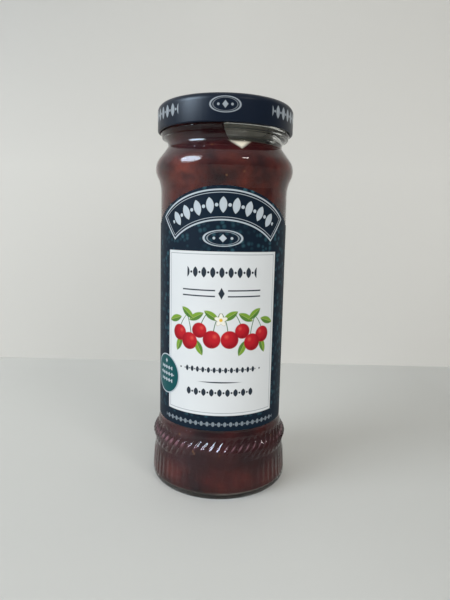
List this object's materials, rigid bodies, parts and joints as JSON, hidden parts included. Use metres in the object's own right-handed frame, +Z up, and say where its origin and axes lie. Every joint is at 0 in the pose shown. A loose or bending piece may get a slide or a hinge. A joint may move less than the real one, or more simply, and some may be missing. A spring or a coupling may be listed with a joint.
{
  "type": "jam jar",
  "caption": "Tall clear glass jar of dark fruit jam with a rounded shoulder, twisted bead and fluted foot, arched paper label, round sticker and twist-off metal lid.",
  "frame": {"origin": "centre of the foot's bearing ring, on the surface that the jar stands on", "axes": "+Z up along the jar's axis; the label's front faces -Y; +X is to the right of the front"},
  "size_m": [0.0568, 0.0568, 0.1529],
  "materials": {
    "glass": "clear polished glass",
    "jam": "wet glossy dark red-brown fruit jam",
    "lid": "satin navy lacquer on tinplate",
    "label": "coated printed paper, soft sheen",
    "sticker": "coated printed paper, soft sheen"
  },
  "bodies": {
    "root": {"jar_glass": "glass", "jam": "jam", "lid": "lid", "label": "label", "sticker": "sticker"}
  },
  "joints": []
}
